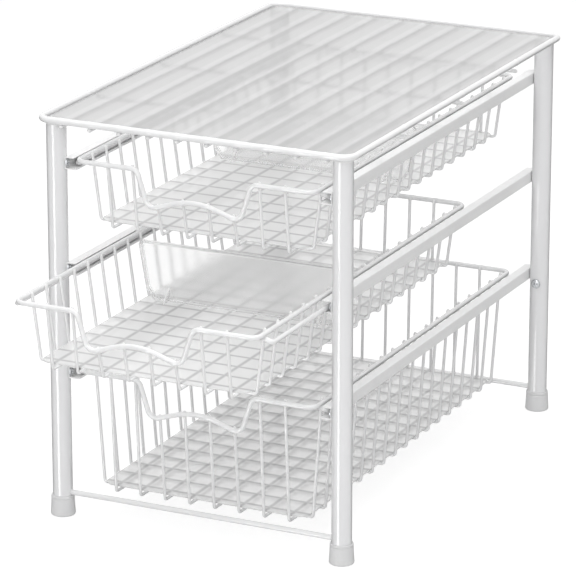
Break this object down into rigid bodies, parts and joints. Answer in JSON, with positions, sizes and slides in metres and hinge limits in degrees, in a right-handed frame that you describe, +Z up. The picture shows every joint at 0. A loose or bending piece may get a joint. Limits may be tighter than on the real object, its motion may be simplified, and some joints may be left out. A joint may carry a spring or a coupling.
{
  "type": "pull out cabinet basket",
  "caption": "Free-standing wire organiser for a cabinet: round posts carry a matted top rack and pull-out wire baskets that slide on side rails.",
  "frame": {"origin": "middle of the whole outline on the floor plane, with the middle basket pulled out 105 mm; the four posts' middle is at y = +0.05005", "axes": "+Z up, -Y towards the front where the baskets pull out, +X towards the right-hand posts as seen from the front"},
  "size_m": [0.2884, 0.5496, 0.3507],
  "materials": {
    "post_coating": "satin white powder coat on steel tube",
    "rail_coating": "satin white powder coat on folded steel sheet",
    "wire_coating": "white plastic-coated steel wire",
    "cap_plastic": "moulded white plastic",
    "foot_plastic": "moulded light grey plastic",
    "mat_plastic": "frosted translucent polypropylene sheet",
    "liner_plastic": "frosted translucent polypropylene sheet",
    "divider_plastic": "clear moulded plastic",
    "screw_zinc": "bright zinc-plated steel"
  },
  "bodies": {
    "frame": {"post_front_left": "post_coating", "post_front_right": "post_coating", "post_rear_left": "post_coating", "post_rear_right": "post_coating", "post_cap_front_left": "cap_plastic", "post_cap_front_right": "cap_plastic", "post_cap_rear_left": "cap_plastic", "post_cap_rear_right": "cap_plastic", "foot_front_left": "foot_plastic", "foot_front_right": "foot_plastic", "foot_rear_left": "foot_plastic", "foot_rear_right": "foot_plastic", "front_tie_rod": "wire_coating", "rear_tie_rod": "wire_coating", "rail_top_left": "rail_coating", "rail_top_right": "rail_coating", "rail_middle_left": "rail_coating", "rail_middle_right": "rail_coating", "rail_bottom_left": "rail_coating", "rail_bottom_right": "rail_coating", "rail_screws": "screw_zinc", "post_screws": "screw_zinc", "top_rack_rim": "wire_coating", "top_rack_long_wires": "wire_coating", "top_rack_cross_wires": "wire_coating", "top_mat": "mat_plastic"},
    "top_basket": {"top_basket_rim": "wire_coating", "top_basket_runner_left": "wire_coating", "top_basket_runner_right": "wire_coating", "top_basket_long_wires": "wire_coating", "top_basket_cross_wires": "wire_coating", "top_basket_liner": "liner_plastic", "top_basket_divider": "divider_plastic"},
    "middle_basket": {"middle_basket_rim": "wire_coating", "middle_basket_runner_left": "wire_coating", "middle_basket_runner_right": "wire_coating", "middle_basket_long_wires": "wire_coating", "middle_basket_cross_wires": "wire_coating", "middle_basket_liner": "liner_plastic", "middle_basket_divider": "divider_plastic"},
    "bottom_basket": {"bottom_basket_rim": "wire_coating", "bottom_basket_runner_left": "wire_coating", "bottom_basket_runner_right": "wire_coating", "bottom_basket_long_wires": "wire_coating", "bottom_basket_cross_wires": "wire_coating", "bottom_basket_liner": "liner_plastic"}
  },
  "joints": [
    {"name": "top_basket_slide", "type": "slide", "parent": "frame", "child": "top_basket", "axis": [0, -1, 0], "range_m": [0, 0.28]},
    {"name": "middle_basket_slide", "type": "slide", "parent": "frame", "child": "middle_basket", "axis": [0, -1, 0], "range_m": [-0.105, 0.175]},
    {"name": "bottom_basket_slide", "type": "slide", "parent": "frame", "child": "bottom_basket", "axis": [0, -1, 0], "range_m": [0, 0.28]}
  ]
}
